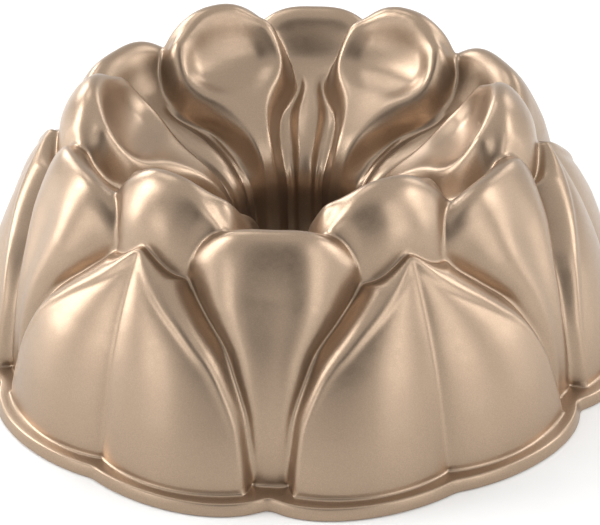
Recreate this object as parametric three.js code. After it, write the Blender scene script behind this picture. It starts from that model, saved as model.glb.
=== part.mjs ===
// Cast flower bundt pan, standing upside down on its rim, as it is stored or cooled.
//
// Millimetres, +Z up. The origin is on the ring's axis, in the plane that the rim rests on.
// The pan is one aluminium casting: a ring-shaped mould whose wall follows three families of
// petals, six of each. Angles are counted from the centre of a spoon petal. A mid petal's centre
// lies HALF_SECTOR degrees further on, and everything repeats by mirroring and turning.
//
// The outer skin is a height field. Its rays start on a circle inside the cake ring (the core):
// level rays for the outer wall, a half turn of rays over the crown, and level rays again down
// the centre tube. A station is a place along that sweep, and a height is a distance from the core.

import * as THREE from 'three';

const PETALS = 6;
const HALF_SECTOR = 180 / PETALS;
const WALL = 3.4; // thickness of the casting
const CORE_R = 82;
const CORE_Z = 50;
const ARC = 36; // stations per radian over the crown
const CROWN_END = Math.PI * ARC;
const TUBE_FOOT_Z = 2; // the tube stops just short of the rim's plane
const WALL_FOOT_Z = 6.2; // lowest row of the outer skin, just above the rim

const RIM_TOP_Z = 4.7;
const RIM_EDGE = { lobe: 132.4, ribNotch: 129, gapNotch: 124.8 }; // radius of the scalloped edge
const RIM_DRAFT = 1.3; // the edge leans in by this much towards the top
const FOOT_FILLET = 0.8; // small fillet where the wall stands on the rim

// Curves over the skin: [radius, height] or [radius, height, value], from the rim to the tube.
const MID_CENTRE = [
  [118, 0], [117.8, 7], [115.8, 25], [111, 45], [104.3, 62], [98.9, 74], [95, 81.2], [91, 86.8],
  [86.6, 90.3], [82.6, 87.3], [79.2, 79.6], [74, 72.5], [67, 68], [59, 64.2], [51, 60.8],
  [43, 57.4], [36, 53.6], [30.2, 48.2], [26.8, 41], [25, 30], [23.6, 15], [22.6, 0],
];
const SPOON_CENTRE = [
  [96, 0], [95.5, 30], [94, 50], [91.3, 68], [89.4, 77], [87.7, 85], [84.6, 92], [80.2, 97.2],
  [75.4, 99.6], [72.6, 98.2], [71.5, 95.2], [69.9, 90.5], [66.5, 84], [61.8, 78.4], [56.4, 74.6],
  [50.9, 71.8], [46.6, 69.2], [42.7, 66.6], [38.3, 63.6], [33.2, 59.4], [28.6, 53.2], [25.4, 45],
  [23.7, 35], [22.4, 18], [21.6, 0],
];
const RIB = [[122.5, 0], [121.8, 7], [117.3, 25], [111, 45], [103.2, 62], [92.3, 79.6], [89, 83]];
// The valley between two petals, with its angle from the spoon petal's centre.
const VALLEY = [
  [117, 0, 27], [116.8, 9.5, 26.8], [114, 21, 26.2], [111, 31, 25.5], [105.2, 43.5, 22.9],
  [100, 51, 20.5], [95, 58, 16.2], [89.8, 65, 11.8], [87.5, 72, 10.3], [85, 78, 11.4],
  [82.3, 82.4, 13.7], [80.4, 84.6, 16.4], [78.8, 80, 19.3], [74, 73.2, 21.6], [68.5, 69, 23.6],
  [62.5, 65.6, 24.2], [57, 62.4, 22.1], [52, 59.2, 18.8], [47, 56, 16.9], [41, 52.4, 16.1],
  [35, 48.8, 16], [30.2, 44.6, 16.1], [27.8, 38.5, 16.2], [26.4, 26, 15.8], [25.2, 12, 15.3],
  [24.2, 0, 15],
];
// Half angle and depth of the bowl in a spoon petal, from its tip into the handle.
const BOWL = [
  [74, 99.3, 0, 0], [73, 98, 5.5, 0.3], [72.2, 95.6, 10.2, 0.9], [70.8, 90.6, 14.8, 1.8],
  [67.1, 83, 18.2, 2.2], [62.1, 76.8, 19, 2], [56.3, 73.5, 16.2, 1.3], [50.9, 71.5, 12, 0.6],
  [46.6, 69.1, 9.2, 0.2], [42.7, 66.6, 7.4, 0], [36, 62, 6, 0], [28.2, 53.2, 5, 0],
  [24.6, 42, 4, 0],
];
// Crest of the outer petals: [angle from the rib, height above the rim's plane].
const CREST = [
  [0, 77.6], [1.2, 75.8], [5.2, 68.6], [8.8, 63.7], [12.4, 59.1], [15.8, 54.1], [19.6, 47.8],
  [23.1, 34.5], [24.7, 24], [25.6, 12.3], [25.9, 0],
];
// Foot of the outer petals where they stand on the spoon petal: [angle, radius, height].
const TIP_FOOT = [
  [10.5, 88.6, 66.4], [7, 90.4, 70.3], [3.6, 90.2, 73.4], [1.2, 89.7, 76.6], [0, 89.2, 78.2],
];
// How full a mid petal's section is, by degrees over the crown.
const MID_FULLNESS = [[-80, 3], [0, 3], [40, 3.6], [75, 2.9], [100, 2.7], [125, 2.4], [150, 1.9]];
// How far the outer petals' faces stand out beside the rib, by height above the rim's plane.
const RIB_DEPTH = [[0, 4.9], [25, 4.7], [45, 3.6], [60, 2], [70, 0.8], [80, 0]];
const FACE_TURN = 0.95; // share of half a wave across each half of an outer petal
const FACE_POWER = 0.75; // below 1, the rib between the halves is a sharp crease
// The raised lip along the crest of the outer petals, by height above the rim's plane.
const LIP_HEIGHT = [[0, 0], [15, 0.2], [30, 0.7], [45, 1.2], [60, 1.4], [80, 1.2]];
const LIP_WIDTH = [[0, 1.2], [25, 1.4], [35, 2], [50, 2.9], [60, 2.7], [80, 2.4]];

// Grid of the casting. Its columns follow the petals' outlines: so many from a spoon petal's centre
// to the crest or bowl edge, so many down the flank to the valley, so many to the mid petal's centre.
const COLUMNS = [4, 3, 4];
const OUTER_WALL_HEIGHTS = [WALL_FOOT_Z, 20, 31, 41];
const OUTER_CROWN_TURNS = [0, 14, 27, 40, 53, 65, 76, 83, 91, 98, 104, 113, 124, 135, 146, 157, 168];
const OUTER_TUBE_HEIGHTS = [48, 36, 20, TUBE_FOOT_Z];
const INNER_TUBE_HEIGHTS = [TUBE_FOOT_Z, 24, 44];
const INNER_CROWN_TURNS = [166, 150, 134, 118, 102, 86, 68, 48, 26];
const INNER_WALL_HEIGHTS = [48, 28, RIM_TOP_Z];

const radians = THREE.MathUtils.degToRad;
const clamp = THREE.MathUtils.clamp;

function stationOf(r, z) {
  if (z < CORE_Z && r > CORE_R) return z - CORE_Z;
  if (z < CORE_Z) return CROWN_END + CORE_Z - z;
  return ARC * Math.atan2(z - CORE_Z, r - CORE_R);
}

function heightOf(r, z) {
  return z < CORE_Z ? Math.abs(r - CORE_R) : Math.hypot(r - CORE_R, z - CORE_Z);
}

function pointAt(station, height) {
  const turn = clamp(station / ARC, 0, Math.PI);
  const drop = Math.min(station, 0) - Math.max(station - CROWN_END, 0);
  return [CORE_R + height * Math.cos(turn), CORE_Z + height * Math.sin(turn) + drop];
}

function interpolate(table, x, column) {
  const last = table.length - 1;
  if (x <= table[0][0]) return table[0][column];
  if (x >= table[last][0]) return table[last][column];
  let low = 0;
  let high = last;
  while (high - low > 1) {
    const middle = (low + high) >> 1;
    if (table[middle][0] > x) high = middle;
    else low = middle;
  }
  const part = (x - table[low][0]) / (table[high][0] - table[low][0]);
  return table[low][column] + part * (table[high][column] - table[low][column]);
}

// A smooth curve through the rows, as a table of [station, height, value].
function skinCurve(rows) {
  const path = new THREE.CatmullRomCurve3(rows.map(([r, z]) => new THREE.Vector3(r, z, 0)));
  const valuePoints = rows.map((row) => new THREE.Vector3(row[2] ?? 0, row[3] ?? 0, 0));
  const values = new THREE.CatmullRomCurve3(valuePoints);
  return Array.from({ length: 401 }, (_, i) => {
    const place = path.getPoint(i / 400);
    const value = values.getPoint(i / 400);
    return [stationOf(place.x, place.y), heightOf(place.x, place.y), value.x, value.y];
  });
}

const midCentre = skinCurve(MID_CENTRE);
const spoonCentre = skinCurve(SPOON_CENTRE);
const valley = skinCurve(VALLEY);
const bowl = skinCurve(BOWL);
const ribCentre = skinCurve(RIB);

const smoothStep = (x) => x * x * (3 - 2 * x);
const crownDegrees = (station) => THREE.MathUtils.radToDeg(station / ARC);

// Falls from 1 at the middle of a petal to 0 at its valley; a higher power keeps it fuller.
const swell = (part, power) => 1 - clamp(part, 0, 1) ** power;

function spoonHeight(angle, station) {
  const foot = interpolate(valley, station, 1);
  const centre = interpolate(spoonCentre, station, 1);
  const edge = interpolate(valley, station, 2);
  const bowlEdge = station < bowl[0][0] ? 0 : interpolate(bowl, station, 2);
  const power = interpolate([[60, 2.4], [95, 2.4], [120, 1.9], [150, 1.7]], crownDegrees(station), 1);
  const flank = swell((angle - bowlEdge) / (edge - bowlEdge), power);
  const [radius] = pointAt(station, centre);
  const inside = radians(Math.max(bowlEdge - angle, 0)) * radius;
  const reach = clamp(radians(bowlEdge) * radius, 0.5, 9.5);
  const depth = interpolate(bowl, station, 3) * smoothStep(clamp(inside / reach, 0, 1));
  return foot + (centre - foot) * flank - depth;
}

function midHeight(angle, station) {
  const foot = interpolate(valley, station, 1);
  const centre = interpolate(midCentre, station, 1);
  const part = (HALF_SECTOR - angle) / (HALF_SECTOR - interpolate(valley, station, 2));
  const turn = crownDegrees(station);
  const power = interpolate(MID_FULLNESS, turn, 1);
  const furrow = interpolate([[-80, 0.1], [-45, 0.4], [0, 0.9], [50, 1.4], [85, 0.3], [100, 0]], turn, 1);
  const pocket = interpolate([[128, 0], [148, 2], [165, 2.6], [185, 1.8], [215, 0.5]], turn, 1);
  const middle = furrow * (0.5 + 0.5 * Math.cos(Math.PI * clamp(part / 0.5, 0, 1)));
  const side = pocket * Math.exp(-(((part - 0.7) / 0.17) ** 2));
  return foot + (centre - foot) * swell(part, power) - middle - side;
}

// The outer petal is drawn on a flat chart: arc length round the wall against length up the rib.
const chartLength = (() => {
  let length = 0;
  return ribCentre.map(([station, height], i) => {
    if (i > 0) {
      const [r0, z0] = pointAt(ribCentre[i - 1][0], ribCentre[i - 1][1]);
      const [r1, z1] = pointAt(station, height);
      length += Math.hypot(r1 - r0, z1 - z0);
    }
    return [station, length];
  });
})();

function onChart(angle, station) {
  const [radius] = pointAt(station, interpolate(ribCentre, station, 1));
  return [radians(angle) * radius, interpolate(chartLength, station, 1)];
}

// Outlines as rising tables of [station, angle, chart x, chart y].
function outline(stations, angles) {
  return stations.map((station, i) => [station, angles[i], ...onChart(angles[i], station)]);
}

const heightToStation = ribCentre.map(([station, height]) => [pointAt(station, height)[1], station]);

function crestOutline() {
  const points = CREST.map(([angle, z]) => new THREE.Vector3(z, angle, 0)).reverse();
  const samples = new THREE.CatmullRomCurve3(points).getPoints(160);
  return outline(samples.map((p) => interpolate(heightToStation, p.x, 1)), samples.map((p) => p.y));
}

function footOutline() {
  const start = stationOf(TIP_FOOT[0][1], TIP_FOOT[0][2]);
  const wall = valley.filter(([station]) => station < start);
  const tip = TIP_FOOT.map(([angle, r, z]) => [stationOf(r, z), angle]);
  const steps = Array.from({ length: 40 }, (_, i) => i / 39);
  const along = tip.map((row, i) => [i / (tip.length - 1), ...row]);
  return outline(
    [...wall.map((row) => row[0]), ...steps.map((t) => interpolate(along, t, 1))],
    [...wall.map((row) => row[2]), ...steps.map((t) => interpolate(along, t, 2))],
  );
}

const crest = crestOutline();
const petalFoot = footOutline();

function distanceTo(curve, x, y) {
  let nearest = Infinity;
  for (const [, , cx, cy] of curve) nearest = Math.min(nearest, Math.hypot(x - cx, y - cy));
  return nearest;
}

function outerPetalHeight(angle, station) {
  const [x, y] = onChart(angle, station);
  const rib = interpolate(ribCentre, station, 1);
  const z = pointAt(station, rib)[1];
  const toCrest = distanceTo(crest, x, y);
  const toFoot = distanceTo(petalFoot, x, y);
  const crestAngle = station > crest.at(-1)[0] ? 0 : interpolate(crest, station, 1);
  const footAngle = station > petalFoot.at(-1)[0] ? 0 : interpolate(petalFoot, station, 1);
  const puff = interpolate(RIB_DEPTH, z, 1);
  const lip = interpolate(LIP_HEIGHT, z, 1);
  if (angle < crestAngle) {
    const roll = 0.5 + 0.5 * Math.cos(Math.PI * clamp(toCrest / interpolate(LIP_WIDTH, z, 1), 0, 1));
    return rib + puff * Math.sin(Math.PI * FACE_TURN * (angle / crestAngle)) ** FACE_POWER + lip * roll;
  }
  const top = rib + puff * Math.sin(Math.PI * FACE_TURN) ** FACE_POWER + lip;
  const foot = Math.min(interpolate(valley, station, 1), top - 2.2);
  if (angle < footAngle) {
    const part = toCrest / Math.max(toCrest + toFoot, 1e-6);
    return foot + (top - foot) * (1 - part ** 1.7);
  }
  return foot - 1.2 * toFoot;
}

// Height of the outer skin; the angle folds back at both ends of the half sector.
function skinHeight(rawAngle, station) {
  const folded = Math.abs(rawAngle);
  const angle = folded > HALF_SECTOR ? 2 * HALF_SECTOR - folded : folded;
  const edge = interpolate(valley, station, 2);
  const petal = angle < edge ? spoonHeight(angle, station) : midHeight(angle, station);
  if (station > ribCentre.at(-1)[0]) return petal;
  return Math.max(petal, outerPetalHeight(angle, station));
}

// Height of the cake side: a ball of the wall's thickness rolls along under the outer skin.
function cakeSideHeight(angle, station) {
  const height = skinHeight(angle, station);
  const [radius] = pointAt(station, height);
  const stretch = station > 0 && station < CROWN_END ? height / ARC : 1;
  let lowest = height - WALL;
  for (const share of [0.35, 0.7, 0.92]) {
    const reach = WALL * share;
    const sink = Math.sqrt(WALL * WALL - reach * reach);
    for (let step = 0; step < 12; step += 1) {
      const turn = (step / 12) * 2 * Math.PI;
      const aside = THREE.MathUtils.radToDeg((reach * Math.cos(turn)) / radius);
      const along = (reach * Math.sin(turn)) / stretch;
      lowest = Math.min(lowest, skinHeight(angle + aside, station + along) - sink);
    }
  }
  return lowest;
}

// Radius of the scalloped rim: two lobes to each outer petal, a notch at its rib and at its ends.
function rimRadius(angle) {
  const part = angle / HALF_SECTOR;
  const notch = THREE.MathUtils.lerp(RIM_EDGE.ribNotch, RIM_EDGE.gapNotch, part ** 3);
  return notch + (RIM_EDGE.lobe - notch) * Math.sin(Math.PI * part) ** 0.75;
}

// Angles of the grid's columns at a station.
function columnAngles(station) {
  const valleyAngle = interpolate(valley, station, 2);
  const crestAngle = station > crest.at(-1)[0] ? 0 : interpolate(crest, station, 1);
  const bowlAngle = station < bowl[0][0] ? 0 : interpolate(bowl, station, 2);
  const edge = clamp(Math.max(crestAngle, bowlAngle), 0.4 * valleyAngle, valleyAngle - 0.8);
  const marks = [0, edge, valleyAngle, HALF_SECTOR];
  const angles = COLUMNS.flatMap((count, band) => Array.from({ length: count }, (_, i) =>
    THREE.MathUtils.lerp(marks[band], marks[band + 1], i / count)));
  return [...angles, HALF_SECTOR];
}

// Rows of the closed grid over half a sector: up the outer skin, down the tube, back up the cake
// side and round the rim. Each point is [angle, radius, height].
function halfSectorRows() {
  const atWall = (z) => z - CORE_Z;
  const atTurn = (turn) => radians(turn) * ARC;
  const atTube = (z) => CROWN_END + CORE_Z - z;
  const outer = [
    ...OUTER_WALL_HEIGHTS.map(atWall), ...OUTER_CROWN_TURNS.map(atTurn), ...OUTER_TUBE_HEIGHTS.map(atTube),
  ];
  const inner = [
    ...INNER_TUBE_HEIGHTS.map(atTube), ...INNER_CROWN_TURNS.map(atTurn), ...INNER_WALL_HEIGHTS.map(atWall),
  ];
  const skinRow = (station, height) => columnAngles(station).map((angle) =>
    [angle, ...pointAt(station, height(angle, station))]);
  const footAngles = columnAngles(atWall(RIM_TOP_Z));
  const footRadius = (angle) => CORE_R + skinHeight(angle, atWall(WALL_FOOT_Z)) + FOOT_FILLET;
  const mouthRadius = (angle) => CORE_R + cakeSideHeight(angle, atWall(RIM_TOP_Z)) + 0.4;
  return [
    ...outer.map((station) => skinRow(station, skinHeight)),
    ...inner.map((station) => skinRow(station, cakeSideHeight)),
    footAngles.map((angle) => [angle, mouthRadius(angle), 0]),
    footAngles.map((angle) => [angle, rimRadius(angle), 0]),
    footAngles.map((angle) => [angle, rimRadius(angle) - RIM_DRAFT, RIM_TOP_Z]),
    footAngles.map((angle) => [angle, footRadius(angle), RIM_TOP_Z]),
  ];
}

// The half sector is mirrored and turned round the ring.
function castingGeometry() {
  const rows = halfSectorRows();
  const lastColumn = rows[0].length - 1;
  const positions = [];
  for (let petal = 0; petal < PETALS; petal += 1) {
    const centre = HALF_SECTOR * (2 * petal + 1);
    for (let column = -lastColumn; column < lastColumn; column += 1) {
      for (const row of rows) {
        const [angle, r, z] = row[Math.abs(column)];
        const turn = radians(centre + Math.sign(column) * angle);
        positions.push(r * Math.sin(turn), -r * Math.cos(turn), z);
      }
    }
  }
  const columnCount = 2 * lastColumn * PETALS;
  const indices = [];
  for (let i = 0; i < columnCount; i += 1) {
    const here = i * rows.length;
    const next = ((i + 1) % columnCount) * rows.length;
    for (let j = 0; j < rows.length; j += 1) {
      const k = (j + 1) % rows.length;
      indices.push(here + j, next + j, next + k, here + j, next + k, here + k);
    }
  }
  const geometry = new THREE.BufferGeometry();
  geometry.setAttribute('position', new THREE.Float32BufferAttribute(positions, 3));
  geometry.setIndex(indices);
  geometry.computeVertexNormals();
  return geometry;
}

const bronzeCoat = new THREE.MeshStandardMaterial({ color: 0xa98f78, metalness: 0.8, roughness: 0.42 });

const casting = new THREE.Mesh(castingGeometry(), bronzeCoat);
casting.name = 'cast_pan';

const pan = new THREE.Group();
pan.add(casting);

export default pan;
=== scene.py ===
"""A cast bundt pan with a bronze release coating, standing on its rim on a plain pale floor.

The fine casting stands for the CAD node cast_pan. It has the same petals on a finer grid, with its
crests rounded and its skin softened, as a sprayed casting's are. Shapes are in millimetres until the
mesh is made, which is in metres. Angles are in degrees from a spoon petal's centre. A mid petal's
centre lies HALF_SECTOR further on, and everything repeats by mirroring and turning.

The skin is a height field over a ring-shaped core inside the cake. A station is a place along the
skin's section, from the rim over the crown to the tube, and a height is a distance from the core.
"""

import math

import bpy
import numpy as np
from mathutils import Matrix, Vector


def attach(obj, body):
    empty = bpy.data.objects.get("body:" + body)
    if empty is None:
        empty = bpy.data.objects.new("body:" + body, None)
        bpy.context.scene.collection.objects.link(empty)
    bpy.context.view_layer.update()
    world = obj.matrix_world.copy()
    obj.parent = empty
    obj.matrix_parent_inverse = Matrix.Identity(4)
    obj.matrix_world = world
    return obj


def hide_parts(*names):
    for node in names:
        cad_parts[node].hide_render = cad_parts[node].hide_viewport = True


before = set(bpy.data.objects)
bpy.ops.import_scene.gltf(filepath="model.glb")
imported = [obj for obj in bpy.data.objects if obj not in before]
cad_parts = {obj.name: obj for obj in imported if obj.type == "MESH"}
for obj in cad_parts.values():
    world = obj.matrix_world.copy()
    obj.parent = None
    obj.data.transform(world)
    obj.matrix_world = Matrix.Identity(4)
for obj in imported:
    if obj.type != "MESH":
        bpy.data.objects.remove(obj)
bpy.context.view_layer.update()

METRES = 0.001

# ---- shape of the casting ----
PETALS = 6
HALF_SECTOR = 180 / PETALS
WALL = 3.4  # thickness of the casting
CORE_R = 82
CORE_Z = 50
ARC = 36  # stations per radian over the crown
CROWN_END = math.pi * ARC
TUBE_FOOT_Z = 2
TUBE_LIP_DROP = 0.8
WALL_FOOT_Z = 6.2

RIM_TOP_Z = 4.7
RIM_EDGE_LOBE = 132.4
RIM_EDGE_RIB_NOTCH = 129
RIM_EDGE_GAP_NOTCH = 124.8
RIM_LOBE_POWER = 0.75  # below 1, the lobes are full and the notches narrow
RIM_EDGE_ROWS = slice(6, 17)  # rows of the rim that follow its scalloped edge
RIM_DRAFT = 1.3  # the edge leans in by this much towards the top
RIM_ROUNDING = 0.9
FOOT_FILLET = 1.1

# Curves over the skin: [radius, height, ...], from the rim over the crown to the tube.
MID_CENTRE = [
    [118, 0], [117.8, 7], [115.8, 25], [111, 45], [104.3, 62], [98.9, 74], [95, 81.2], [91, 86.8],
    [86.6, 90.3], [82.6, 87.3], [79.2, 79.6], [74, 72.5], [67, 68], [59, 64.2], [51, 60.8],
    [43, 57.4], [36, 53.6], [30.2, 48.2], [26.8, 41], [25, 30], [23.6, 15], [22.6, 0],
]
SPOON_CENTRE = [
    [96, 0], [95.5, 30], [94, 50], [91.3, 68], [89.4, 77], [87.7, 85], [84.6, 92], [80.2, 97.2],
    [75.4, 99.6], [72.6, 98.2], [71.5, 95.2], [69.9, 90.5], [66.5, 84], [61.8, 78.4], [56.4, 74.6],
    [50.9, 71.8], [46.6, 69.2], [42.7, 66.6], [38.3, 63.6], [33.2, 59.4], [28.6, 53.2], [25.4, 45],
    [23.7, 35], [22.4, 18], [21.6, 0],
]
RIB = [[122.5, 0], [121.8, 7], [117.3, 25], [111, 45], [103.2, 62], [92.3, 79.6], [89, 83]]
# The valley between two petals, with its angle from the spoon petal's centre.
VALLEY = [
    [117, 0, 27], [116.8, 9.5, 26.8], [114, 21, 26.2], [111, 31, 25.5], [105.2, 43.5, 22.9],
    [100, 51, 20.5], [95, 58, 16.2], [89.8, 65, 11.8], [87.5, 72, 10.3], [85, 78, 11.4],
    [82.3, 82.4, 13.7], [80.4, 84.6, 16.4], [78.8, 80, 19.3], [74, 73.2, 21.6], [68.5, 69, 23.6],
    [62.5, 65.6, 24.2], [57, 62.4, 22.1], [52, 59.2, 18.8], [47, 56, 16.9], [41, 52.4, 16.1],
    [35, 48.8, 16], [30.2, 44.6, 16.1], [27.8, 38.5, 16.2], [26.4, 26, 15.8], [25.2, 12, 15.3],
    [24.2, 0, 15],
]
# Half angle and depth of the bowl in a spoon petal, from its tip into the handle.
BOWL = [
    [74, 99.3, 0, 0], [73, 98, 5.5, 0.3], [72.2, 95.6, 10.2, 0.9], [70.8, 90.6, 14.8, 1.8],
    [67.1, 83, 18.2, 2.2], [62.1, 76.8, 19, 2], [56.3, 73.5, 16.2, 1.3], [50.9, 71.5, 12, 0.6],
    [46.6, 69.1, 9.2, 0.2], [42.7, 66.6, 7.4, 0], [36, 62, 6, 0], [28.2, 53.2, 5, 0],
    [24.6, 42, 4, 0],
]
# Crest of the outer petals: [height above the rim's plane, angle from the rib].
CREST = [
    [0, 25.9], [12.3, 25.6], [24, 24.7], [34.5, 23.1], [47.8, 19.6], [54.1, 15.8], [59.1, 12.4],
    [63.7, 8.8], [68.6, 5.2], [75.8, 1.2], [77.6, 0],
]
# Foot of the outer petals where they stand on the spoon petal: [radius, height, angle].
TIP_FOOT = [
    [88.6, 66.4, 10.5], [90.4, 70.3, 7], [90.2, 73.4, 3.6], [89.7, 76.6, 1.2], [89.2, 78.2, 0],
]
BOWL_REACH = (0.5, 9.5)  # least and most width of the bowl's side

# By degrees over the crown: how full a petal's section is, and how deep the mid petal's furrow and
# the pockets beside its waist are.
SPOON_FULLNESS = [[60, 2.4], [95, 2.4], [120, 1.9], [150, 1.7]]
MID_FULLNESS = [[-80, 3], [0, 3], [40, 3.6], [75, 2.9], [100, 2.7], [125, 2.4], [150, 1.9]]
MID_FURROW = [[-80, 0.1], [-45, 0.4], [0, 0.9], [50, 1.4], [85, 0.3], [100, 0]]
MID_POCKET = [[128, 0], [148, 2], [165, 2.6], [185, 1.8], [215, 0.5]]
FURROW_WIDTH = 0.5  # shares of the way from the mid petal's centre to its valley
POCKET_PLACE = 0.7
POCKET_WIDTH = 0.17

# By height above the rim's plane: how far an outer petal's faces stand out beside its rib, and the
# raised lip along its crest.
RIB_DEPTH = [[0, 4.9], [25, 4.7], [45, 3.6], [60, 2], [70, 0.8], [80, 0]]
LIP_HEIGHT = [[0, 0], [15, 0.2], [30, 0.7], [45, 1.2], [60, 1.4], [80, 1.2]]
LIP_WIDTH = [[0, 1.2], [25, 1.4], [35, 2], [50, 2.9], [60, 2.7], [80, 2.4]]
FACE_TURN = 0.95  # share of half a wave across each half of an outer petal
FACE_POWER = 0.75  # below 1, the rib between the halves is a sharp crease
SIDE_POWER = 1.7  # how late the outer petal's side falls from its crest
LEAST_SIDE = 2.2  # the crest stands at least this far above the petal's foot
DIVE = 1.2  # past its foot, an outer petal sinks out of sight at this slope

# ---- grid and softening ----
COLUMN_STEP = 0.3  # degrees
OUTER_ROW = 0.65  # millimetres along the skin
INNER_ROW = 2.6
CROWN_HEIGHT = 48  # a high place's distance from the core, which sets the crown's count of rows
SOFTENING = 5  # smoothing passes over the whole outer skin, and half as many inside
RIM_SOFTENING = 14  # smoothing passes along the rim's scalloped edge
CREST_ROUNDING = 3  # radius of the ball that rounds the crests
CREST_EVENING = 10  # smoothing passes over the crown, away from the valleys
EVENED_ABOVE = 6  # millimetres above the valley, where the evening is in full
ROUNDED_FROM = (50, 86)  # degrees over the crown, where the rounding comes in

# ---- finish, light and view ----
COAT_DARK = (0.386, 0.282, 0.199)
COAT_LIGHT = (0.43, 0.313, 0.221)
COAT_ROUGHNESS = (0.3, 0.36)
COAT_METALLIC = 0.9
CLEAR_WEIGHT = 0.15
CLEAR_ROUGHNESS = 0.26
FLAKE_SCALE = 2600
FLAKE_SHADE = (0.86, 0.86, 0.86)
FLAKE_BUMP = (0.12, 0.0001)  # strength, and height in metres
GLOSS_SCALE = 420
PATCH_SCALE = 14
NOISE_MIDDLE = (0.3, 0.7)  # the range that most of the noise lies in

FLOOR_REACH = 3
FLOOR_CELLS = 24
FLOOR_DARK = (0.86, 0.86, 0.855)
FLOOR_LIGHT = (0.89, 0.89, 0.885)
FLOOR_ROUGHNESS = 0.75
FLOOR_GRAIN_SCALE = 30

# Sine of the height above the horizon, and brightness.
ROOM_LIGHT = [(0, 0.94), (0.3, 0.9), (0.6, 0.72), (0.85, 0.92)]
# The gap between the softboxes in front, which the coating reflects as a dark patch.
GAP_TURN = 4  # degrees round from the front
GAP_RISE = 33  # degrees up
GAP_REACH = (5, 31)  # degrees from its middle, where it starts to fade and where it ends
GAP_LIGHT = 0.2
SOFT_LIGHTS = [  # name, degrees round from the front, degrees up, watts
    ("left_low", -90, 12, 3.3),
    ("left_high", -90, 35, 4.3),
    ("right_low", 90, 12, 1.3),
    ("right_high", 90, 35, 2.6),
    ("front_left", -45, 12, 1.1),
    ("front_right", 45, 12, 1),
    ("front_right_high", 45, 35, 1),
    ("back_left", -135, 25, 3.5),
    ("back_right", 135, 35, 1.5),
    ("back_left_high", -135, 60, 1.1),
]
SOFT_LIGHT_SIZE = 0.45
SOFT_LIGHT_DISTANCE = 1.15
SOFT_LIGHT_AIM_Z = 0.05

CAMERA_HEIGHT = 33.141  # degrees up
CAMERA_TURN = 5.925  # degrees round from the front
CAMERA_ROLL = -0.027  # radians
CAMERA_DISTANCE = 0.772593
CAMERA_ASIDE = 0.000863
CAMERA_TARGET_Z = 0.021312
CAMERA_SENSOR = 36
CAMERA_LENS = 118.157
CAMERA_SHIFT = (-0.0029, -0.0024)


# ---- curves and tables ----
def smooth_curve(rows, count=1600):
    """Points on a smooth curve through the rows, spaced by its first two columns."""
    points = np.array(rows, float)
    first = 2 * points[0] - points[1]
    last = 2 * points[-1] - points[-2]
    points = np.vstack([first, points, last])
    gaps = np.sqrt(np.hypot(*np.diff(points[:, :2], axis=0).T))[:, None]
    slopes = np.diff(points, axis=0) / gaps
    tangents = slopes[:-1] + slopes[1:] - (points[2:] - points[:-2]) / (gaps[:-1] + gaps[1:])
    place = np.linspace(0, len(rows) - 1, count)
    low = np.minimum(place.astype(int), len(rows) - 2)
    t = (place - low)[:, None]
    start, end = points[low + 1], points[low + 2]
    leave = tangents[low] * gaps[low + 1]
    arrive = tangents[low + 1] * gaps[low + 1]
    blend = t * t * (3 - 2 * t)
    return start + (end - start) * blend + t * (1 - t) * ((1 - t) * leave - t * arrive)


def table(rows, x, column=1):
    """The rows' value at x, which their first column gives."""
    rows = np.asarray(rows, float)
    return np.interp(x, rows[:, 0], rows[:, column])


def station_of(r, z):
    """How far along the skin's section a place is."""
    turn = ARC * np.arctan2(z - CORE_Z, r - CORE_R)
    level = np.where(r > CORE_R, z - CORE_Z, CROWN_END + CORE_Z - z)
    return np.where(z < CORE_Z, level, turn)


def height_of(r, z):
    """How far a place is from the core."""
    return np.where(z < CORE_Z, np.abs(r - CORE_R), np.hypot(r - CORE_R, z - CORE_Z))


def point_at(station, height):
    """Radius and height above the rim's plane, of a place on the skin."""
    turn = np.clip(station / ARC, 0, math.pi)
    drop = np.minimum(station, 0) - np.maximum(station - CROWN_END, 0)
    return CORE_R + height * np.cos(turn), CORE_Z + height * np.sin(turn) + drop


def skin_curve(rows):
    """A smooth curve through the rows, as a table of [station, height, value, ...]."""
    curve = smooth_curve(rows)
    r, z = curve[:, 0], curve[:, 1]
    return np.column_stack([station_of(r, z), height_of(r, z), curve[:, 2:]])


def smooth_step(x):
    """Rises from 0 to 1 with level ends."""
    return x * x * (3 - 2 * x)


def swell(part, power):
    """Falls from 1 at the middle of a petal to 0 at its valley. A higher power keeps it fuller."""
    return 1 - np.clip(part, 0, 1) ** power


mid_centre = skin_curve(MID_CENTRE)
spoon_centre = skin_curve(SPOON_CENTRE)
valley = skin_curve(VALLEY)
bowl = skin_curve(BOWL)
rib_centre = skin_curve(RIB)


# ---- petals: height of the skin at each angle and station ----
def spoon_height(angle, station):
    """An upper petal, with a spoon-shaped bowl that narrows into a handle."""
    foot = table(valley, station)
    centre = table(spoon_centre, station)
    edge = table(valley, station, 2)
    bowl_edge = np.where(station < bowl[0, 0], 0, table(bowl, station, 2))
    power = table(SPOON_FULLNESS, np.degrees(station / ARC))
    flank = swell((angle - bowl_edge) / (edge - bowl_edge), power)
    radius = point_at(station, centre)[0]
    inside = np.radians(np.maximum(bowl_edge - angle, 0)) * radius
    reach = np.clip(np.radians(bowl_edge) * radius, *BOWL_REACH)
    depth = table(bowl, station, 3) * smooth_step(np.clip(inside / reach, 0, 1))
    return foot + (centre - foot) * flank - depth


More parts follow.
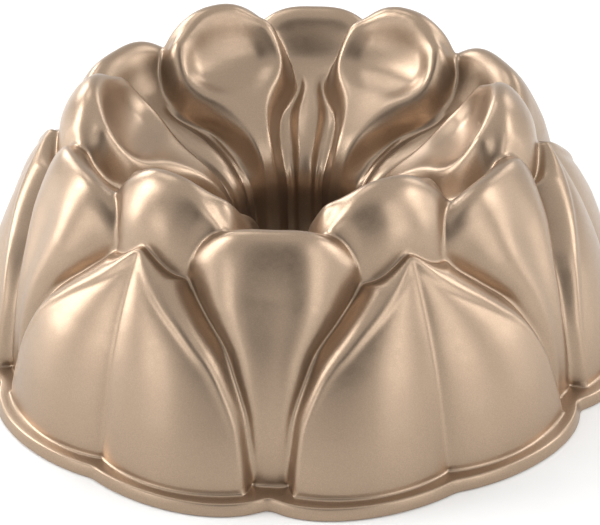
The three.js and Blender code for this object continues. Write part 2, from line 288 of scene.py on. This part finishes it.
def mid_height(angle, station):
    """A middle petal, with a shallow furrow outside and a waisted throat inside."""
    foot = table(valley, station)
    centre = table(mid_centre, station)
    part = (HALF_SECTOR - angle) / (HALF_SECTOR - table(valley, station, 2))
    turn = np.degrees(station / ARC)
    power = table(MID_FULLNESS, turn)
    furrow = table(MID_FURROW, turn)
    pocket = table(MID_POCKET, turn)
    middle = furrow * (0.5 + 0.5 * np.cos(math.pi * np.clip(part / FURROW_WIDTH, 0, 1)))
    side = pocket * np.exp(-(((part - POCKET_PLACE) / POCKET_WIDTH) ** 2))
    return foot + (centre - foot) * swell(part, power) - middle - side


def chart_length():
    """Length up the rib of the outer petal, as a table of [station, length]."""
    path = np.column_stack(point_at(rib_centre[:, 0], rib_centre[:, 1]))
    steps = np.hypot(*np.diff(path, axis=0).T)
    return np.column_stack([rib_centre[:, 0], np.concatenate([[0], np.cumsum(steps)])])


rib_length = chart_length()


def on_chart(angle, station):
    """The outer petal's flat chart: arc length round the wall, and length up the rib."""
    radius = point_at(station, table(rib_centre, station))[0]
    return np.radians(angle) * radius, table(rib_length, station) + 0 * angle


def outline(stations, angles):
    """An edge of the outer petal as a rising table of [station, angle, chart x, chart y]."""
    x, y = on_chart(angles, stations)
    return np.column_stack([stations, angles, x, y])


def crest_outline():
    """The outer petal's crest, from the rim up to its tip."""
    samples = smooth_curve(CREST, 500)
    heights = point_at(rib_centre[:, 0], rib_centre[:, 1])[1]
    return outline(np.interp(samples[:, 0], heights, rib_centre[:, 0]), samples[:, 1])


def foot_outline():
    """Where the outer petal meets its neighbours: up the valley, then round under its tip."""
    tip = skin_curve(TIP_FOOT)
    wall = valley[valley[:, 0] < tip[0, 0]]
    stations = np.concatenate([wall[:, 0], tip[::12, 0]])
    angles = np.concatenate([wall[:, 2], tip[::12, 2]])
    return outline(stations, angles)


crest = crest_outline()
petal_foot = foot_outline()


def distance_to(edge, x, y):
    """Distance on the chart from each place to the nearest point of an outline."""
    nearest = np.full(x.shape, np.inf)
    for cx, cy in edge[:, 2:]:
        nearest = np.minimum(nearest, (x - cx) ** 2 + (y - cy) ** 2)
    return np.sqrt(nearest)


def outer_petal_height(angle, station):
    """A pointed petal low on the wall: two faces beside a rib, a crest with a lip, and a side."""
    x, y = np.broadcast_arrays(*on_chart(angle, station))
    rib = table(rib_centre, station)
    z = point_at(station, rib)[1]
    to_crest = distance_to(crest, x, y)
    to_foot = distance_to(petal_foot, x, y)
    crest_angle = np.where(station > crest[-1, 0], 0, table(crest, station))
    foot_angle = np.where(station > petal_foot[-1, 0], 0, table(petal_foot, station))
    puff = table(RIB_DEPTH, z)
    lip = table(LIP_HEIGHT, z)
    roll = 0.5 + 0.5 * np.cos(math.pi * np.clip(to_crest / table(LIP_WIDTH, z), 0, 1))
    across = np.clip(angle / np.maximum(crest_angle, 1e-3), 0, 1)
    face = rib + puff * np.sin(math.pi * FACE_TURN * across) ** FACE_POWER + lip * roll
    top = rib + puff * math.sin(math.pi * FACE_TURN) ** FACE_POWER + lip
    foot = np.minimum(table(valley, station), top - LEAST_SIDE)
    part = to_crest / np.maximum(to_crest + to_foot, 1e-6)
    side = foot + (top - foot) * (1 - part**SIDE_POWER)
    beyond = foot - DIVE * to_foot
    return np.where(angle < crest_angle, face, np.where(angle < foot_angle, side, beyond))


def skin_height(angle, station):
    """Height of the outer skin over half a sector, one row for each station."""
    angle, station = angle[None, :], station[:, None]
    petal = np.where(
        angle < table(valley, station, 2), spoon_height(angle, station), mid_height(angle, station)
    )
    on_wall = station[:, 0] <= rib_centre[-1, 0]
    petal[on_wall] = np.maximum(petal[on_wall], outer_petal_height(angle, station[on_wall]))
    return petal


# ---- grid of the casting ----
def roll_ball(heights, stations, size, side):
    """Height of a ball's centre as it rolls: side -1 is under the skin, and side 1 is over it."""
    rows, last = len(heights), heights.shape[1] - 1
    radius = point_at(stations[:, None], heights)[0]
    on_crown = (stations > 0) & (stations < CROWN_END)
    row_length = np.gradient(stations)[:, None] * np.where(on_crown[:, None], heights / ARC, 1)
    column_length = math.radians(COLUMN_STEP) * radius
    furthest = side * heights + size
    row_reach = math.ceil(size / row_length.min())
    column_reach = math.ceil(size / column_length.min())
    for row_shift in range(-row_reach, row_reach + 1):
        row = np.clip(np.arange(rows) + row_shift, 0, rows - 1)
        for column_shift in range(-column_reach, column_reach + 1):
            column = np.abs(np.arange(last + 1) + column_shift)
            column = last - np.abs(last - column)
            away = (row_shift * row_length) ** 2 + (column_shift * column_length) ** 2
            rise = np.sqrt(np.maximum(size**2 - away, 0))
            touch = side * heights[np.ix_(row, column)] + rise
            furthest = np.where(away < size**2, np.maximum(furthest, touch), furthest)
    return side * furthest


def even_out(heights, passes):
    """Smooths half a sector's heights, mirrored at its edges."""
    for _ in range(passes):
        wide = np.pad(heights, 1, "reflect")
        across = (wide[:, :-2] + 2 * wide[:, 1:-1] + wide[:, 2:]) / 4
        heights = (across[:-2] + 2 * across[1:-1] + across[2:]) / 4
    return heights


def round_crests(heights, stations):
    """Rounds the crown's ridges with a ball and evens them out, and leaves the valleys sharp."""
    under = roll_ball(heights, stations, CREST_ROUNDING, -1)
    rounded = roll_ball(under, stations, CREST_ROUNDING, 1)
    above = (heights - table(valley, stations)[:, None]) / EVENED_ABOVE
    rounded += (even_out(rounded, CREST_EVENING) - rounded) * smooth_step(np.clip(above, 0, 1))
    start, end = ROUNDED_FROM
    share = smooth_step(np.clip((np.degrees(stations / ARC) - start) / (end - start), 0, 1))
    return heights + (rounded - heights) * share[:, None]


def skin_stations(row_length):
    """Stations from the rim's top, over the crown and down to the tube's foot."""
    wall = np.arange(RIM_TOP_Z - CORE_Z, 0, row_length)
    crown = np.linspace(0, CROWN_END, round(math.pi * CROWN_HEIGHT / row_length))
    tube_length = CORE_Z - TUBE_FOOT_Z
    tube = np.append(np.arange(row_length, tube_length, row_length), tube_length)
    return np.concatenate([wall, crown, CROWN_END + tube])


def rim_radius(angle):
    """The scalloped edge: two lobes to each outer petal, a notch at its rib and at its ends."""
    part = angle / HALF_SECTOR
    notch = RIM_EDGE_RIB_NOTCH + (RIM_EDGE_GAP_NOTCH - RIM_EDGE_RIB_NOTCH) * part**3
    return notch + (RIM_EDGE_LOBE - notch) * np.sin(math.pi * part) ** RIM_LOBE_POWER


def corner(radius, height, size, start, stop, count=5):
    """A rounded corner in the rim's section, as [radius, height] pairs about its centre."""
    turns = np.radians(np.linspace(start, stop, count))
    return [(radius + size * math.cos(turn), height + size * math.sin(turn)) for turn in turns]


def rim_rows(angle, mouth, foot):
    """The rim's section from the cake side round its edge to the foot of the wall."""
    edge = rim_radius(angle)
    top_edge = edge - RIM_DRAFT
    section = corner(mouth + RIM_ROUNDING, RIM_ROUNDING, RIM_ROUNDING, 180, 270)
    section += [((mouth + edge) / 2, 0)]
    section += corner(edge - RIM_ROUNDING, RIM_ROUNDING, RIM_ROUNDING, -90, 0)
    section += corner(top_edge - RIM_ROUNDING, RIM_TOP_Z - RIM_ROUNDING, RIM_ROUNDING, 10, 90)
    section += [((top_edge + foot) / 2, RIM_TOP_Z)]
    section += corner(foot + FOOT_FILLET, RIM_TOP_Z + FOOT_FILLET, FOOT_FILLET, -90, -170)
    radius = [np.broadcast_to(r, angle.shape) for r, _ in section]
    height = [np.full(angle.shape, z) for _, z in section]
    return np.array(radius), np.array(height)


def whole_ring(radius, height, angle):
    """Mirrors and turns a half sector's rows round the ring. Returns points [row, column, xyz]."""
    order = np.concatenate([np.arange(len(angle) - 1, 0, -1), np.arange(len(angle) - 1)])
    side = np.concatenate([-np.ones(len(angle) - 1), np.ones(len(angle) - 1)])
    sectors = [
        np.radians(HALF_SECTOR * (2 * petal + 1) + side * angle[order]) for petal in range(PETALS)
    ]
    turn = np.concatenate(sectors)
    r = np.tile(radius[:, order], PETALS)
    z = np.tile(height[:, order], PETALS)
    return np.stack([r * np.sin(turn), -r * np.cos(turn), z], axis=-1)


def along_columns(points):
    """Each point moves towards its neighbours on either side round the ring."""
    return (np.roll(points, 1, axis=1) + 2 * points + np.roll(points, -1, axis=1)) / 4


def soften(points, passes):
    """Evens the skin out both ways. Its first and last rows are only evened along the ring."""
    for _ in range(passes):
        points = along_columns(points)
        inner = (points[:-2] + 2 * points[1:-1] + points[2:]) / 4
        points = np.concatenate([points[:1], inner, points[-1:]])
    return points


def casting_points():
    """The closed grid of the casting: outer skin, tube's foot, cake side and rim."""
    angle = np.arange(0, HALF_SECTOR + COLUMN_STEP / 2, COLUMN_STEP)
    stations = skin_stations(OUTER_ROW)
    heights = round_crests(skin_height(angle, stations), stations)
    cake_heights = roll_ball(heights, stations, WALL, -1)
    on_wall = stations >= WALL_FOOT_Z - CORE_Z
    outer_rows = point_at(stations[on_wall, None], heights[on_wall])
    outer = soften(whole_ring(*outer_rows, angle), SOFTENING)
    every = round(INNER_ROW / OUTER_ROW)
    inner_rows = point_at(stations[::-every, None], cake_heights[::-every])
    inner = soften(whole_ring(*inner_rows, angle), SOFTENING // 2)
    foot = CORE_R + heights[np.argmax(on_wall)]
    mouth = CORE_R + cake_heights[0]
    rim = whole_ring(*rim_rows(angle, mouth, foot), angle)
    for _ in range(RIM_SOFTENING):
        rim[RIM_EDGE_ROWS] = along_columns(rim[RIM_EDGE_ROWS])
    lip = (outer[-1:] + inner[:1]) / 2 - np.array([0, 0, TUBE_LIP_DROP])
    return np.concatenate([outer, lip, inner, rim])


def grid_mesh(name, points):
    """A closed mesh from points [row, column, xyz], joined round in both directions."""
    rows, columns, _ = points.shape
    here = np.arange(rows * columns).reshape(rows, columns)
    beside = np.roll(here, -1, axis=1)
    faces = np.stack(
        [here, beside, np.roll(beside, -1, axis=0), np.roll(here, -1, axis=0)], axis=-1
    ).reshape(-1, 4)
    mesh = bpy.data.meshes.new(name)
    mesh.from_pydata((points.reshape(-1, 3) * METRES).tolist(), [], faces.tolist())
    mesh.polygons.foreach_set("use_smooth", [True] * len(faces))
    mesh.update()
    piece = bpy.data.objects.new(name, mesh)
    bpy.context.scene.collection.objects.link(piece)
    return piece


# ---- materials ----
def new_material(name):
    """An empty material, with its nodes and links."""
    material = bpy.data.materials.new(name)
    material.use_nodes = True
    return material, material.node_tree.nodes, material.node_tree.links


def noise(nodes, links, place, scale, detail):
    """Noise fixed to the object, with scale features to a metre."""
    texture = nodes.new("ShaderNodeTexNoise")
    texture.inputs["Scale"].default_value = scale
    texture.inputs["Detail"].default_value = detail
    links.new(place.outputs["Object"], texture.inputs["Vector"])
    return texture.outputs["Fac"]


def ramp(nodes, links, value, stops):
    """Colours for a value, from [position, colour] stops."""
    colours = nodes.new("ShaderNodeValToRGB")
    links.new(value, colours.inputs["Fac"])
    while len(colours.color_ramp.elements) < len(stops):
        colours.color_ramp.elements.new(1)
    for element, (position, colour) in zip(colours.color_ramp.elements, stops):
        element.position = position
        element.color = (*colour, 1)
    return colours.outputs["Color"]


def spread(nodes, links, value, low, high):
    """Maps the noise's middle range onto low to high."""
    mapping = nodes.new("ShaderNodeMapRange")
    mapping.inputs["From Min"].default_value = NOISE_MIDDLE[0]
    mapping.inputs["From Max"].default_value = NOISE_MIDDLE[1]
    mapping.inputs["To Min"].default_value = low
    mapping.inputs["To Max"].default_value = high
    links.new(value, mapping.inputs["Value"])
    return mapping.outputs["Result"]


def bronze_coating():
    """Sprayed metallic release coating: fine flakes, uneven gloss and faint patches of tone."""
    material, nodes, links = new_material("bronze_coating")
    shader = nodes["Principled BSDF"]
    place = nodes.new("ShaderNodeTexCoord")
    flakes = noise(nodes, links, place, FLAKE_SCALE, 1)
    gloss = noise(nodes, links, place, GLOSS_SCALE, 3)
    patches = noise(nodes, links, place, PATCH_SCALE, 2)

    tone = ramp(nodes, links, patches, list(zip(NOISE_MIDDLE, (COAT_DARK, COAT_LIGHT))))
    sparkle = ramp(nodes, links, flakes, [(0.35, FLAKE_SHADE), (0.7, (1, 1, 1))])
    mix = nodes.new("ShaderNodeMix")
    mix.data_type = "RGBA"
    mix.blend_type = "MULTIPLY"
    mix.inputs["Factor"].default_value = 1
    links.new(tone, mix.inputs["A"])
    links.new(sparkle, mix.inputs["B"])
    links.new(mix.outputs["Result"], shader.inputs["Base Color"])
    links.new(spread(nodes, links, gloss, *COAT_ROUGHNESS), shader.inputs["Roughness"])

    shader.inputs["Metallic"].default_value = COAT_METALLIC
    shader.inputs["Coat Weight"].default_value = CLEAR_WEIGHT
    shader.inputs["Coat Roughness"].default_value = CLEAR_ROUGHNESS
    bump = nodes.new("ShaderNodeBump")
    bump.inputs["Strength"].default_value = FLAKE_BUMP[0]
    bump.inputs["Distance"].default_value = FLAKE_BUMP[1]
    links.new(flakes, bump.inputs["Height"])
    links.new(bump.outputs["Normal"], shader.inputs["Normal"])
    return material


def pale_floor():
    """Matt pale board with a faint mottling."""
    material, nodes, links = new_material("pale_floor")
    shader = nodes["Principled BSDF"]
    place = nodes.new("ShaderNodeTexCoord")
    grain = noise(nodes, links, place, FLOOR_GRAIN_SCALE, 4)
    colour = ramp(nodes, links, grain, list(zip(NOISE_MIDDLE, (FLOOR_DARK, FLOOR_LIGHT))))
    links.new(colour, shader.inputs["Base Color"])
    shader.inputs["Roughness"].default_value = FLOOR_ROUGHNESS
    return material


# ---- studio ----
def direction(turn, rise):
    """Towards turn degrees round from the front and rise degrees up."""
    turn, rise = math.radians(turn), math.radians(rise)
    across = math.cos(rise)
    return Vector((across * math.sin(turn), -across * math.cos(turn), math.sin(rise)))


def soft_light(name, turn, rise, power):
    """A square softbox that faces the pan, turn degrees round and rise degrees up."""
    light = bpy.data.lights.new(name, "AREA")
    light.size = SOFT_LIGHT_SIZE
    light.energy = power
    lamp = bpy.data.objects.new(name, light)
    lamp.location = direction(turn, rise) * SOFT_LIGHT_DISTANCE
    aim = Vector((0, 0, SOFT_LIGHT_AIM_Z)) - lamp.location
    lamp.rotation_euler = aim.to_track_quat("-Z", "Y").to_euler()
    bpy.context.scene.collection.objects.link(lamp)


def room_brightness(nodes, links, place):
    """The room's grey, by the height above the horizon."""
    split = nodes.new("ShaderNodeSeparateXYZ")
    links.new(place.outputs["Generated"], split.inputs["Vector"])
    greys = [(rise, (grey, grey, grey)) for rise, grey in ROOM_LIGHT]
    return ramp(nodes, links, split.outputs["Z"], greys)


def front_gap(nodes, links, place):
    """1 over most of the room, falling to GAP_LIGHT in the middle of the gap in front."""
    nearness = nodes.new("ShaderNodeVectorMath")
    nearness.operation = "DOT_PRODUCT"
    nearness.inputs[1].default_value = direction(GAP_TURN, GAP_RISE)
    links.new(place.outputs["Generated"], nearness.inputs[0])
    gap = nodes.new("ShaderNodeMapRange")
    gap.interpolation_type = "SMOOTHSTEP"
    gap.inputs["From Min"].default_value = math.cos(math.radians(GAP_REACH[1]))
    gap.inputs["From Max"].default_value = math.cos(math.radians(GAP_REACH[0]))
    gap.inputs["To Min"].default_value = 1
    gap.inputs["To Max"].default_value = GAP_LIGHT
    links.new(nearness.outputs["Value"], gap.inputs["Value"])
    return gap.outputs["Result"]


def studio():
    """A pale room with softboxes round the pan."""
    world = bpy.data.worlds.new("studio")
    world.use_nodes = True
    nodes, links = world.node_tree.nodes, world.node_tree.links
    background = nodes["Background"]
    place = nodes.new("ShaderNodeTexCoord")
    links.new(room_brightness(nodes, links, place), background.inputs["Color"])
    links.new(front_gap(nodes, links, place), background.inputs["Strength"])
    bpy.context.scene.world = world
    for row in SOFT_LIGHTS:
        soft_light(*row)
    bpy.context.scene.view_settings.view_transform = "Standard"


def floor():
    """A flat grid under the pan, far wider than the view."""
    steps = np.linspace(-FLOOR_REACH, FLOOR_REACH, FLOOR_CELLS + 1)
    x, y = np.meshgrid(steps, steps)
    points = np.stack([x, y, 0 * x], axis=-1).reshape(-1, 3)
    here = np.arange(x.size).reshape(x.shape)
    corners = [here[:-1, :-1], here[:-1, 1:], here[1:, 1:], here[1:, :-1]]
    faces = np.stack(corners, axis=-1).reshape(-1, 4)
    mesh = bpy.data.meshes.new("floor")
    mesh.from_pydata(points.tolist(), [], faces.tolist())
    sheet = bpy.data.objects.new("floor", mesh)
    bpy.context.scene.collection.objects.link(sheet)
    sheet.data.materials.append(pale_floor())


def camera():
    """Looks down at CAMERA_HEIGHT degrees, from CAMERA_TURN degrees round the pan."""
    rise = math.radians(CAMERA_HEIGHT)
    back = Vector((0, -math.cos(rise), math.sin(rise)))
    right = Vector((1, 0, 0))
    up = back.cross(right)
    view = Matrix((right, up, back)).transposed().to_4x4()
    target = right * CAMERA_ASIDE + Vector((0, 0, CAMERA_TARGET_Z))
    view.translation = target + back * CAMERA_DISTANCE
    turn = Matrix.Rotation(math.radians(CAMERA_TURN), 4, "Z")
    roll = Matrix.Rotation(CAMERA_ROLL, 4, "Z")
    lens = bpy.data.cameras.new("camera")
    lens.sensor_width = CAMERA_SENSOR
    lens.lens = CAMERA_LENS
    lens.shift_x, lens.shift_y = CAMERA_SHIFT
    viewer = bpy.data.objects.new("camera", lens)
    viewer.matrix_world = turn @ view @ roll
    bpy.context.scene.collection.objects.link(viewer)
    bpy.context.scene.camera = viewer


studio()
floor()
camera()

pan = grid_mesh("fine_casting", casting_points())
pan.data.materials.append(bronze_coating())
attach(pan, "root")
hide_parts("cast_pan")
